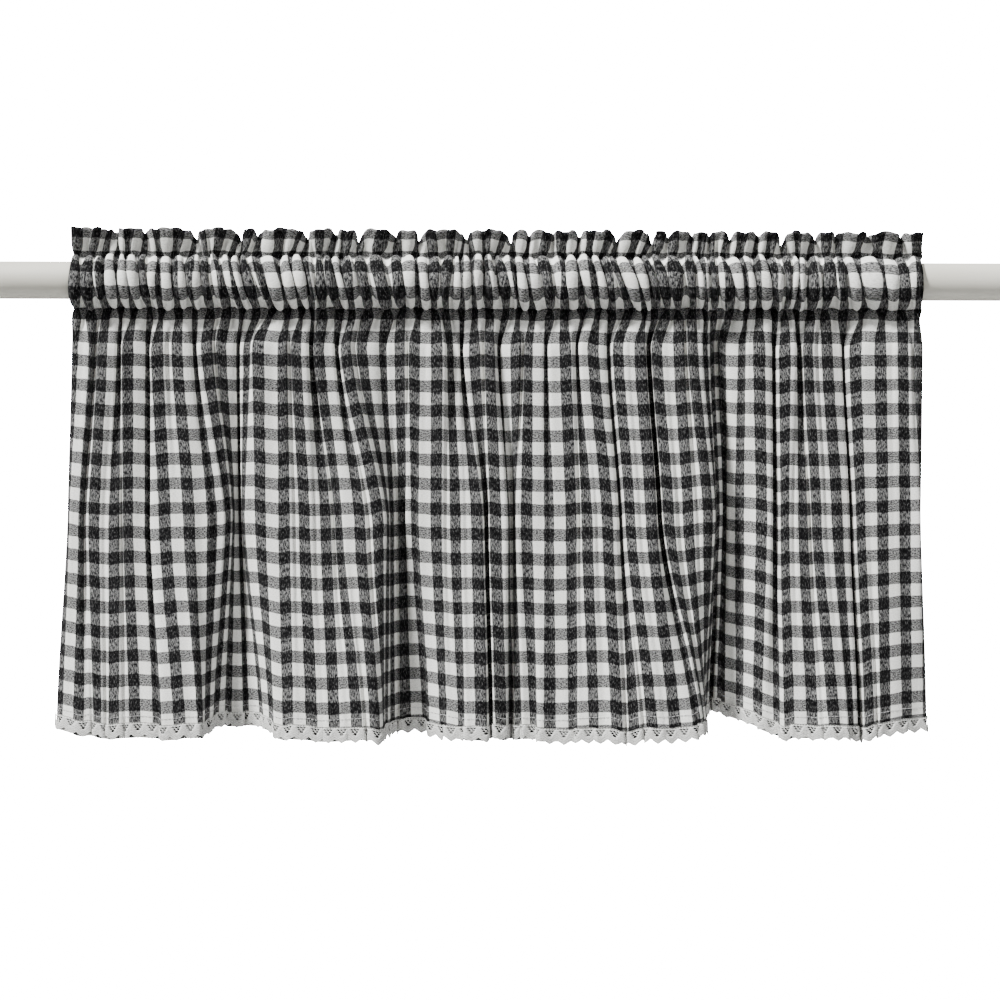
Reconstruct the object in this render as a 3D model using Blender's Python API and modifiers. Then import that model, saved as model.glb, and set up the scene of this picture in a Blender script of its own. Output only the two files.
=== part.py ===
"""A gathered window valance in checked cloth on its curtain rod, with a lace edging on the hem.

Units are metres and +Z is up. The origin is the middle of the rod's left end face. The rod runs
along +X, and the room, from which the valance is seen, is on the -Y side. "Out" is towards the room.
The cloth is one piece: heading ruffle, rod pocket and skirt.
"""

from collections import namedtuple
import math

import bmesh
import bpy
import numpy as np

# The rod, and the cloth as it was cut.
ROD_LENGTH = 0.960
ROD_RADIUS = 0.017
ROD_SIDES = 48
CHECK_REPEAT = 0.022
CHECK_REPEATS = 57
CLOTH_WIDTH = CHECK_REPEAT * CHECK_REPEATS
STRIPE_REPEAT = CLOTH_WIDTH / 57.45
FIRST_STRIPE = 0.22
CLOTH_THICKNESS = 0.0012
HEADING_HEIGHT = 0.0235
HEADING_SLOPE = 0.0030
SKIRT_LENGTH = 0.388

# The pocket round the rod. The seams are the two stitch lines that close it, above and below the rod.
SEAM_HEIGHT = 0.0226
SEAM_BELOW = 0.0248
SEAM_OUT = 0.001
POCKET_RADIUS = 0.0257
POCKET_ROW_DEGREES = 33.0
POCKET_WAVE = 0.0040
POCKET_EVENNESS = 0.044
SEAM_PINCH = 0.45
PINCH_REACH = 0.010
RUFFLE_WAVE = 0.0066
RUFFLE_LEAN = 0.6
RUFFLE_ROUND = 1.6

# The lace, a strip with a toothed lower edge, sewn on the front of the hem.
LACE_HEIGHT = 0.0148
LACE_TOOTH = 0.0050
LACE_THICKNESS = 0.0010
LACE_GAP = 0.0004

# The gathers: each is sampled at four places, and the lower skirt and the lace keep every second one.
GATHERS = 57
SAMPLES_PER_GATHER = 4
COLUMNS = GATHERS * SAMPLES_PER_GATHER
FINE_STEPS = CHECK_REPEATS * 24
WALL_SOFTNESS = 0.009
STEEPEST = math.radians(84)
SHOULDER_DROP = 0.038
MIDDLE_DROP = 0.195
SKIRT_STEPS = 97

# Rows of the skirt, as distances below the lower seam. Below FULL_ROW_DROP every second column ends.
SKIRT_ROWS = (0.0, 0.014, 0.042, 0.110, 0.200, 0.290, 0.370, SKIRT_LENGTH)
FULL_ROW_DROP = 0.014

MILLIMETRE = 0.001

# The folds, from left to right. "stripe" counts the cloth's dark stripes from the left edge. The next
# three are the fold's place along the rod at each level, and the three after them how far out it
# stands there, all in millimetres. "lift" is how much higher the hem is hitched there.
Fold = namedtuple("Fold", "stripe shoulder middle hem out_shoulder out_middle out_hem lift")
FOLDS = (
    Fold(-0.22, 95, 91, 80, -2, -3, -6, 10),
    Fold(0.3, 102, 94, 88, 5, 5, 3, 8),
    Fold(0.75, 111, 102, 97, 6, 6, 5, 6),
    Fold(1.3, 116, 106, 109, -1, -1, 8, 5),
    Fold(2, 123, 116, 119, 8, 8, 9, 3),
    Fold(3, 138, 134, 135, 4, 6, 11, 2),
    Fold(4, 146, 146, 154, 8, 8, 13, 2),
    Fold(5, 163, 164, 176, 1, 3, 13, 2),
    Fold(6, 173, 180, 195, 8, 11, 17, 2),
    Fold(7, 190, 202, 213, 8, 12, 13, 2),
    Fold(8, 205, 222, 216, 2, 8, 0, 4),
    Fold(9, 217, 235, 222, 7, 1, -9, 7),
    Fold(10, 229, 240, 232, 6, -5, -15, 10),
    Fold(11, 243, 244, 248, -4, -12, -19, 12),
    Fold(12, 254, 249, 267, 4, -5, -12, 10),
    Fold(13, 263, 265, 277, 8, 8, 7, 3),
    Fold(14, 286, 287, 291, 8, 10, 15, 0),
    Fold(15, 296, 305, 313, 7, 10, 18, 0),
    Fold(16, 309, 324, 333, -2, 8, 20, 0),
    Fold(17, 317, 337, 354, 8, 11, 20, 0),
    Fold(18, 333, 355, 370, 0, 14, 23, 0),
    Fold(19, 341, 371, 377, 7, 14, 13, 0),
    Fold(20, 355, 380, 377, 8, 7, -4, 2),
    Fold(21, 376, 381, 382, -2, -5, -16, 5),
    Fold(22, 390, 393, 395, 7, -5, -19, 8),
    Fold(23, 403, 405, 415, 8, 0, -13, 8),
    Fold(24, 423, 423, 431, 8, 6, 0, 4),
    Fold(25, 433, 440, 448, 2, 6, 8, 1),
    Fold(26, 445, 459, 464, -3, 8, 12, 0),
    Fold(27, 457, 467, 472, 6, 1, 5, 1),
    Fold(28, 470, 476, 481, 8, 8, 10, 2),
    Fold(29, 478, 488, 490, 0, 4, -1, 2),
    Fold(30, 494, 493, 499, 8, 2, 5, 2),
    Fold(31, 504, 504, 513, 8, 8, 10, 1),
    Fold(33, 538, 544, 547, 7, 10, 15, 0),
    Fold(34, 548, 558, 565, 3, 11, 18, 0),
    Fold(35, 563, 576, 585, 8, 12, 22, 0),
    Fold(36, 577, 588, 600, -2, 4, 20, 0),
    Fold(37, 585, 596, 616, 7, 12, 21, 0),
    Fold(38, 605, 615, 637, 8, 14, 22, 0),
    Fold(39, 613, 623, 656, -1, 6, 18, 1),
    Fold(40, 620, 631, 664, 6, 12, 13, 2),
    Fold(41, 640, 648, 666, 8, 15, 1, 5),
    Fold(42, 652, 666, 665, 8, 15, -14, 10),
    Fold(43, 663, 674, 667, 0, 3, -27, 15),
    Fold(44, 670, 675, 673, -9, -12, -35, 18),
    Fold(45, 680, 684, 683, -8, -18, -31, 18),
    Fold(46, 699, 697, 699, 2, -5, -17, 14),
    Fold(47, 712, 715, 713, 8, 6, -3, 7),
    Fold(48, 725, 727, 731, -1, 1, 5, 3),
    Fold(49, 735, 734, 740, 8, 8, 10, 3),
    Fold(50, 748, 752, 760, 1, 6, 13, 3),
    Fold(51, 755, 763, 779, 7, 8, 16, 3),
    Fold(52, 773, 782, 793, 6, 10, 12, 2),
    Fold(53, 788, 795, 803, -2, 2, 1, 2),
    Fold(54, 798, 802, 811, 6, 7, 8, 2),
    Fold(55, 821, 823, 826, 8, 8, 7, 3),
    Fold(56, 841, 843, 846, 8, 6, 1, 6),
    Fold(57.23, 859, 859, 866, 5, 0, -8, 9),
)

# The notches in the ruffle's top edge, where it folds back: place along the rod and depth, in mm.
Notch = namedtuple("Notch", "along dip")
NOTCHES = (
    Notch(136, 2), Notch(159, 2), Notch(206, 8), Notch(248, 9), Notch(261, 4), Notch(307, 7),
    Notch(333, 4), Notch(352, 11), Notch(386, 6), Notch(406, 8), Notch(449, 7), Notch(490, 10),
    Notch(506, 4), Notch(527, 2), Notch(550, 4), Notch(585, 9), Notch(617, 12), Notch(630, 5),
    Notch(653, 3), Notch(667, 3), Notch(686, 7), Notch(711, 2), Notch(732, 13), Notch(763, 5),
    Notch(781, 1), Notch(811, 2), Notch(840, 2),
)

# How far the lace's points hang below the cloth's edge, in millimetres, by dark stripe.
Drop = namedtuple("Drop", "stripe below")
LACE_DROPS = (
    Drop(0, 0.4), Drop(8, 1.0), Drop(15, 1.0), Drop(17, 2.6), Drop(19, 4.6), Drop(24, 4.4),
    Drop(25.5, 1.2), Drop(31, 1.2), Drop(33, 4.0), Drop(36, 5.4), Drop(40, 5.4),
    Drop(42, 1.0), Drop(49, 1.6), Drop(51, 3.0), Drop(52.5, 4.6), Drop(57, 4.6),
)

# The finishes: colour, roughness and metallic value.
Finish = namedtuple("Finish", "colour roughness metallic")
CHECKED_CLOTH = Finish((0.36, 0.36, 0.35), 0.92, 0.0)
COTTON_LACE = Finish((0.83, 0.83, 0.80), 0.95, 0.0)
PAINTED_ROD = Finish((0.86, 0.85, 0.79), 0.45, 0.0)

FLAT = np.linspace(0.0, CLOTH_WIDTH, FINE_STEPS + 1)


def stripe_place(stripe):
    """The place in the flat cloth of the middle of a dark stripe, in metres."""
    return np.clip((np.asarray(stripe) + FIRST_STRIPE) * STRIPE_REPEAT, 0.0, CLOTH_WIDTH)


def fold_column(name):
    """One named column of the fold table, in metres."""
    return np.array([getattr(fold, name) for fold in FOLDS]) * MILLIMETRE


FOLD_PLACES = stripe_place([fold.stripe for fold in FOLDS])


def softened(values, width):
    """Values on the fine steps, averaged over a bell that wide."""
    half = max(1, round(width / (FLAT[1] - FLAT[0])))
    bell = np.hanning(2 * half + 1)
    padded = np.pad(values, half, mode="edge")
    return np.convolve(padded, bell / bell.sum(), mode="valid")


def gather_phase(flat):
    """The phase of the gathers at a place in the flat cloth: uneven, but 57 whole turns in all."""
    share = flat / CLOTH_WIDTH
    uneven = 0.18 * np.sin(math.tau * 6 * share) + 0.11 * np.sin(math.tau * 13 * share)
    uneven += 0.05 * np.sin(math.tau * 23 * share)
    return math.tau * (GATHERS * share + uneven)


def flat_place(phase):
    """The place in the flat cloth that has this phase."""
    return np.interp(phase, gather_phase(FLAT), FLAT)


def swing_for(ratio):
    """The swing of a meander, in radians, whose chord is this share of its length (inverse of J0)."""
    swings = np.linspace(0.0, 2.0, 201)
    turns = np.linspace(0.0, math.tau, 65)[:-1]
    shares = np.cos(swings[:, None] * np.sin(turns)).mean(axis=1)
    return np.interp(-np.asarray(ratio), -shares, swings)


def plan_line(along, out, gather_part, fold_phase):
    """The cloth's line at one level, seen from above, as (along the rod, out) on the fine steps.

    It passes through the folds. Between them it meanders, so that it keeps the cloth's own length:
    gather_part of the swing has the gathers' pitch, and the rest has twice that.
    """
    steps_along, steps_out = np.diff(along), np.diff(out)
    chord = np.hypot(steps_along, steps_out)
    ratio = np.clip(chord / np.diff(FOLD_PLACES), 0.5, 0.995)
    part = np.clip(np.searchsorted(FOLD_PLACES, FLAT, side="right") - 1, 0, len(chord) - 1)
    heading = softened(np.arctan2(steps_out, steps_along)[part], WALL_SOFTNESS)
    swing = softened(swing_for(ratio)[part], WALL_SOFTNESS)
    phase = gather_phase(FLAT)
    fine, wide = np.sin(phase), np.sin(phase / 2 + fold_phase)
    turn = heading + swing * (gather_part * fine + (1 - gather_part**2) ** 0.5 * wide)
    turn = np.clip(turn, -STEEPEST, STEEPEST)
    step = FLAT[1] - FLAT[0]
    x = along[0] + np.concatenate([[0.0], np.cumsum(np.cos(turn[:-1]) * step)])
    y = out[0] + np.concatenate([[0.0], np.cumsum(np.sin(turn[:-1]) * step)])
    x += np.interp(FLAT, FOLD_PLACES, along - np.interp(FOLD_PLACES, FLAT, x))
    y += np.interp(FLAT, FOLD_PLACES, out - np.interp(FOLD_PLACES, FLAT, y))
    return x, y


def pocket_along():
    """The folds' places along the rod at the pocket: as at the shoulder, but more evenly spread."""
    shoulder = np.interp(FLAT, FOLD_PLACES, fold_column("shoulder"))
    straight = np.linspace(shoulder[0], shoulder[-1], len(FLAT))
    return np.interp(FOLD_PLACES, FLAT, straight + softened(shoulder - straight, POCKET_EVENNESS))


def pocket_line():
    """The gathers at the pocket, with no slow drift in or out and no wave deeper than their reach."""
    along, out = plan_line(pocket_along(), np.zeros(len(FOLDS)), 1.0, 0.0)
    wave = out - softened(out, 1.5 * CHECK_REPEAT)
    return along, POCKET_WAVE * np.tanh(wave / POCKET_WAVE)


def ruffle_line(along):
    """The ruffle's top edge, given the pocket's places: (along, out, how far its edge dips).

    It stands out in a roll between each two notches. The first and last roll end half way, at the sides.
    """
    notches = np.array([n.along for n in NOTCHES]) * MILLIMETRE
    stops = np.concatenate([[2 * along[0] - notches[0]], notches, [2 * along[-1] - notches[-1]]])
    dips = np.array([0] + [n.dip for n in NOTCHES] + [0]) * MILLIMETRE
    turns = math.tau * np.interp(along, stops, np.arange(len(stops)))
    widths = np.interp(along, (stops[1:] + stops[:-1]) / 2, np.diff(stops))
    at_notch = (1 + np.cos(turns)) / 2
    depth = np.clip(RUFFLE_WAVE * widths / 0.030, 0.3 * RUFFLE_WAVE, RUFFLE_WAVE)
    out = depth * (1 - 2 * at_notch**2)
    dip = np.interp(along, stops, dips) * at_notch**RUFFLE_ROUND
    return along - RUFFLE_LEAN * widths / math.tau * np.sin(turns), out, dip


def levels():
    """The plan line at each level of the cloth, by name."""
    along, out = pocket_line()
    return {
        "ruffle": ruffle_line(along),
        "pocket": (along, out),
        "shoulder": plan_line(fold_column("shoulder"), fold_column("out_shoulder"), 0.75, 0.7),
        "middle": plan_line(fold_column("middle"), fold_column("out_middle"), 0.25, 0.7),
        "hem": plan_line(fold_column("hem"), fold_column("out_hem"), 0.0, 0.7),
    }


def eased(share):
    return share * share * (3 - 2 * share)


def skirt_rows(lines):
    """The skirt on close rows from the lower seam to the hem: (drops, along, out, height).

    The threads keep their length as they swing in and out, so a fold that leans lifts the hem.
    """
    drops = np.linspace(0.0, SKIRT_LENGTH + LACE_TOOTH + 0.002, SKIRT_STEPS)
    stations = [0.0, SHOULDER_DROP, MIDDLE_DROP, SKIRT_LENGTH]
    named = [lines[name] for name in ("pocket", "shoulder", "middle", "hem")]
    along, out = [], []
    for drop in drops:
        last = min(int(np.searchsorted(stations, drop, side="right")) - 1, len(stations) - 2)
        share = (drop - stations[last]) / (stations[last + 1] - stations[last])
        share = share if share > 1 else eased(share) * 0.5 + share * 0.5
        along.append(named[last][0] * (1 - share) + named[last + 1][0] * share)
        out.append(named[last][1] * (1 - share) + named[last + 1][1] * share)
    pinch = SEAM_PINCH + (1 - SEAM_PINCH) * eased(np.clip(drops / PINCH_REACH, 0.0, 1.0))
    along, out = np.array(along), np.array(out) * pinch[:, None] + SEAM_OUT
    sideways = np.hypot(np.diff(along, axis=0), np.diff(out, axis=0))
    fall = np.sqrt(np.maximum(np.diff(drops)[:, None] ** 2 - sideways**2, 0.0))
    fall = np.array([softened(row, CHECK_REPEAT) for row in fall])
    fallen = np.vstack([np.zeros(len(FLAT)), np.cumsum(fall, axis=0)])
    lift = softened(np.interp(FLAT, FOLD_PLACES, fold_column("lift")), 4 * WALL_SOFTNESS)
    hitched = lift * (drops / SKIRT_LENGTH)[:, None]
    return drops, along, out, hitched - SEAM_BELOW - fallen


def skirt_points(skirt, flat, drop):
    """Points (N, 3) of the skirt at these places in the flat cloth and this drop below the seam."""
    drops, *fields = skirt
    row = np.interp(drop, drops, np.arange(len(drops)))
    low = np.minimum(np.floor(row).astype(int), len(drops) - 2)
    share = row - low
    column = flat / (FLAT[1] - FLAT[0])
    left = np.minimum(np.floor(column).astype(int), len(FLAT) - 2)
    side = column - left
    along, out, height = (
        (f[low, left] * (1 - side) + f[low, left + 1] * side) * (1 - share)
        + (f[low + 1, left] * (1 - side) + f[low + 1, left + 1] * side) * share
        for f in fields
    )
    return np.column_stack([along, -out, height])


def pocket_points(lines, flat, degrees, side):
    """Points on one wall of the pocket, at this angle above the rod's axis; side is 1 in front, -1 behind.

    Both walls swing the same way in each gather, so that they nest where the seams join them.
    """
    along, wave = (np.interp(flat, FLAT, line) for line in lines["pocket"])
    angle = math.radians(degrees)
    radius = POCKET_RADIUS + side * wave
    height = radius * math.sin(angle) * (SEAM_BELOW / SEAM_HEIGHT if degrees < 0 else 1.0)
    return np.column_stack([along, -side * radius * math.cos(angle), height])


def seam_points(lines, flat, height):
    along, wave = (np.interp(flat, FLAT, line) for line in lines["pocket"])
    return np.column_stack([along, -(SEAM_PINCH * wave + SEAM_OUT), np.full(len(flat), height)])


def heading_points(lines, flat, share):
    """Points of the ruffle above the pocket; share is 0 at the upper seam and 1 at its top edge."""
    along_low, wave = (np.interp(flat, FLAT, line) for line in lines["pocket"])
    along_top, out_top, dip = (np.interp(flat, FLAT, line) for line in lines["ruffle"])
    opened = share**0.7
    along = along_low * (1 - opened) + along_top * opened
    out = SEAM_PINCH * wave * (1 - opened) + out_top * opened + SEAM_OUT
    height = HEADING_HEIGHT - HEADING_SLOPE * flat / CLOTH_WIDTH
    return np.column_stack([along, -out, SEAM_HEIGHT + height * share - dip * share**2])


def grid_sheet(rows):
    """A bmesh grid with these rows of points, and its vertices in rows."""
    bm = bmesh.new()
    made = bmesh.ops.create_grid(bm, x_segments=len(rows[0]) - 1, y_segments=len(rows) - 1, size=0.5)
    order = sorted(made["verts"], key=lambda v: (round(v.co.y, 5), round(v.co.x, 5)))
    for vertex, point in zip(order, np.concatenate(rows)):
        vertex.co = point
    width = len(rows[0])
    return bm, [order[i : i + width] for i in range(0, len(order), width)]


def end_every_second_column(bm, rows):
    """Dissolves every second column of edges between these rows."""
    edges = []
    for upper, lower in zip(rows[1:], rows[:-1]):
        for above, below in list(zip(upper, lower))[1::2]:
            edges.append(bm.edges.get((above, below)))
    bmesh.ops.dissolve_edges(bm, edges=edges, use_verts=True)


def new_material(name, finish):
    material = bpy.data.materials.new(name)
    material.use_nodes = True
    shader = material.node_tree.nodes["Principled BSDF"]
    shader.inputs["Base Color"].default_value = (*finish.colour, 1.0)
    shader.inputs["Roughness"].default_value = finish.roughness
    shader.inputs["Metallic"].default_value = finish.metallic
    return material


def new_object(name, mesh, finish, collection):
    made = bpy.data.objects.new(name, mesh)
    mesh.materials.append(new_material(name, finish))
    collection.objects.link(made)
    return made


def thicken(made, thickness):
    """Gives a sheet its thickness, half to each side. The sheet may branch, as a pocket's walls do."""
    solid = made.modifiers.new("Thickness", "SOLIDIFY")
    solid.solidify_mode = "NON_MANIFOLD"
    solid.nonmanifold_thickness_mode = "CONSTRAINTS"
    solid.nonmanifold_boundary_mode = "NONE"
    solid.nonmanifold_merge_threshold = 0.00001
    solid.thickness = thickness
    solid.offset = 0.0


def make_cloth(lines, skirt, collection):
    """The cloth: the front from hem to heading, and the pocket's back wall between the seams."""
    gathered = flat_place(np.linspace(0.0, math.tau * GATHERS, COLUMNS + 1))
    even = np.linspace(0.0, CLOTH_WIDTH, COLUMNS + 1)
    front = []
    for drop in reversed(SKIRT_ROWS):
        share = max(0.0, (drop - FULL_ROW_DROP) / (SKIRT_LENGTH - FULL_ROW_DROP))
        front.append(skirt_points(skirt, gathered * (1 - share) + even * share, drop))
    for degrees in (-POCKET_ROW_DEGREES, POCKET_ROW_DEGREES):
        front.append(pocket_points(lines, gathered, degrees, 1))
    front += [heading_points(lines, gathered, share) for share in (0.0, 0.5, 1.0)]
    bm, rows = grid_sheet(front)
    end_every_second_column(bm, rows[: len(SKIRT_ROWS) - 1])

    low_seam = seam_points(lines, gathered, -SEAM_BELOW)
    high_seam = seam_points(lines, gathered, SEAM_HEIGHT)
    walls = [pocket_points(lines, gathered, d, -1) for d in (-POCKET_ROW_DEGREES, POCKET_ROW_DEGREES)]
    back, _ = grid_sheet([low_seam, *walls, high_seam])
    back_mesh = bpy.data.meshes.new("pocket_back")
    back.to_mesh(back_mesh)
    bm.from_mesh(back_mesh)
    bpy.data.meshes.remove(back_mesh)
    back.free()
    bmesh.ops.remove_doubles(bm, verts=bm.verts, dist=0.00002)

    mesh = bpy.data.meshes.new("valance_cloth")
    bm.to_mesh(mesh)
    bm.free()
    cloth = new_object("valance_cloth", mesh, CHECKED_CLOTH, collection)
    thicken(cloth, CLOTH_THICKNESS)
    return cloth


def hem_facets(skirt, columns, drop):
    """The skirt's own flat facets at this drop: corner points, and each column's point on them."""
    corners = np.linspace(0.0, CLOTH_WIDTH, COLUMNS // 2 + 1)
    points = skirt_points(skirt, corners, drop)
    return np.column_stack([np.interp(columns, corners, points[:, k]) for k in range(3)])


def outward(points):
    """Unit vectors in plan, out of the cloth's front face, mitred where two facets meet."""
    facet = np.diff(points[:, :2], axis=0)
    normal = np.column_stack([facet[:, 1], -facet[:, 0]])
    normal /= np.linalg.norm(normal, axis=1)[:, None]
    before = np.vstack([normal[:1], normal])
    after = np.vstack([normal, normal[-1:]])
    middle = before + after
    return np.column_stack([middle / np.maximum((middle * after).sum(axis=1), 0.6)[:, None], np.zeros(len(points))])


def make_lace(skirt, collection):
    """The lace: a strip with one tooth for each facet of the hem, a little in front of the cloth."""
    columns = np.linspace(0.0, CLOTH_WIDTH, COLUMNS + 1)
    is_tip = np.arange(COLUMNS + 1) % 2 == 1
    below = np.interp(columns, stripe_place([d.stripe for d in LACE_DROPS]), [d.below for d in LACE_DROPS])
    tip_drop = SKIRT_LENGTH + below * MILLIMETRE
    clear = CLOTH_THICKNESS / 2 + LACE_GAP + LACE_THICKNESS / 2
    bottom = tip_drop - np.where(is_tip, 0.0, LACE_TOOTH)
    rows = []
    for drop in (bottom, tip_drop - LACE_TOOTH - 0.003, tip_drop - LACE_HEIGHT):
        above = hem_facets(skirt, columns, SKIRT_ROWS[-2])
        edge = hem_facets(skirt, columns, SKIRT_LENGTH)
        share = (drop - SKIRT_ROWS[-2]) / (SKIRT_LENGTH - SKIRT_ROWS[-2])
        on_facets = above + (edge - above) * share[:, None]
        rows.append(on_facets + outward(on_facets) * clear)
    bm, _ = grid_sheet(rows)
    mesh = bpy.data.meshes.new("lace_edging")
    bm.to_mesh(mesh)
    bm.free()
    lace = new_object("lace_edging", mesh, COTTON_LACE, collection)
    thicken(lace, LACE_THICKNESS)
    return lace


def make_rod(collection):
    bm = bmesh.new()
    bmesh.ops.create_cone(
        bm, cap_ends=True, segments=ROD_SIDES, radius1=ROD_RADIUS, radius2=ROD_RADIUS, depth=ROD_LENGTH
    )
    mesh = bpy.data.meshes.new("curtain_rod")
    bm.to_mesh(mesh)
    bm.free()
    mesh.shade_smooth()
    mesh.set_sharp_from_angle(angle=math.radians(40))
    rod = new_object("curtain_rod", mesh, PAINTED_ROD, collection)
    rod.rotation_euler = (0.0, math.pi / 2, 0.0)
    rod.location = (ROD_LENGTH / 2, 0.0, 0.0)
    return rod


def main():
    for old in list(bpy.data.objects):
        bpy.data.objects.remove(old)
    collection = bpy.data.collections.new("window_valance")
    bpy.context.scene.collection.children.link(collection)
    lines = levels()
    skirt = skirt_rows(lines)
    make_rod(collection)
    make_cloth(lines, skirt, collection)
    make_lace(skirt, collection)


main()
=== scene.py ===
"""The window valance as a finished picture: gingham cloth, cotton lace and stitching on a painted rod.

Units are metres. The origin is the middle of the rod's left end face, +X runs along the rod, +Z is up
and the room is on the -Y side. "Out" is towards the room, and "drop" is the distance along the cloth
below the lower of the two seams that close the rod pocket. The main folds stand where the CAD
model's do; here they have narrower grooves between them and are drawn on a finer grid.
"""

from collections import namedtuple
import math

import bpy
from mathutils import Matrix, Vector
import numpy as np


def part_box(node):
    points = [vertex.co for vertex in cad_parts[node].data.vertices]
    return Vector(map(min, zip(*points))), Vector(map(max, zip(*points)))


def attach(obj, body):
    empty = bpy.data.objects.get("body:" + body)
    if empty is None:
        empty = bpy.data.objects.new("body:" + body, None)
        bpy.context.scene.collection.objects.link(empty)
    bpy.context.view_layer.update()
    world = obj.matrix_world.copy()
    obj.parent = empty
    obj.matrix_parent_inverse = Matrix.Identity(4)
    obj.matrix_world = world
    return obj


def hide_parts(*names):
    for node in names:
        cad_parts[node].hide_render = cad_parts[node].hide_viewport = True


MILLIMETRE = 0.001

# The cloth as it was cut, and the pocket round the rod, as in the CAD model.
CHECK_REPEAT = 0.022
CHECK_REPEATS = 57
CLOTH_WIDTH = CHECK_REPEAT * CHECK_REPEATS
STRIPE_REPEAT = CLOTH_WIDTH / 57.45
FIRST_STRIPE = 0.22
HEADING_SLOPE = 0.0030
SEAM_BELOW = 0.0248
SEAM_OUT = 0.001
POCKET_EVENNESS = 0.044
SEAM_PINCH = 0.45
PINCH_REACH = 0.010
FINE_STEPS = CHECK_REPEATS * 24
WALL_SOFTNESS = 0.009
STEEPEST = math.radians(84)
SHOULDER_DROP = 0.038
MIDDLE_DROP = 0.195
SKIRT_STEPS = 97
ROD_RADIUS = 0.017

# What only this picture has: the skirt as it is sewn, the turnings, a rounder pocket and ruffle,
# and the weft's own pitch.
SKIRT_LENGTH = 0.390
SEAM_HEIGHT = 0.0214
HEADING_HEIGHT = 0.0247
HEADING_LEAN = 0.0035
RUFFLE_WAVE = 0.0080
RUFFLE_LEAN = 0.75
RUFFLE_ROUND = 2.6
RUFFLE_STRAY = 0.0007
SKIRT_BEYOND = 0.0070
HEM_DEPTH = 0.0208
SIDE_TURN_COLUMNS = 4
TURNING_GAP = 0.0009
POCKET_BULGE = 0.0218
POCKET_CUT = 0.062
BACK_ALLOWANCE = 0.009
WEFT_REPEAT = 0.0222
FIRST_WEFT_DROP = 0.0053
COLUMNS_PER_REPEAT = 14
LOBES = 72
LOBE_BEND = 0.0012
LOBE_SLANT = 0.0022
LOBE_DRIFT = 0.0032
LOBE_STRAY = 0.0006
LOBE_LEAN = 1.1
BROAD_FOLD = 0.036
WALL_SLOPE = math.radians(78)
LIP_SOFTNESS = 0.0032
EVEN_FOLDS = 0.0030
WEFT_JOG = 0.0010
LOBE_RISE = 1.0
CREASE_DEPTH = 1.15
FULLNESS_VARIES = 0.22
ROD_CLEARANCE = 0.0006

# The lace: its height with the points, the points alone, its motif, which repeats along it, how far
# it runs on past the cloth's sides, and the grid that it is drawn on.
LACE_HEIGHT = 0.0148
LACE_POINT = 0.0042
LACE_MOTIF = CLOTH_WIDTH / 99
LACE_END_LEFT = 0.0085
LACE_END_RIGHT = 0.0040
LACE_OUT = 0.0014
LACE_RELIEF = 0.0008
LACE_LINES = 0.0021
LACE_CELLS = 24
LACE_ROWS = 30
RIM_SNAP = 0.28
RIM_WIDTH = 0.45

# The two rows of stitches: each one's drop, how far it arches out of the cloth and its thread's radius.
HEM_STITCH = (SKIRT_LENGTH - HEM_DEPTH + 0.0015, 0.0004, 0.00022)
SEAM_STITCH = (0.0004, 0.0003, 0.00022)
STITCH_LENGTH = 0.0026
STITCH_GAP = 0.0009

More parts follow.
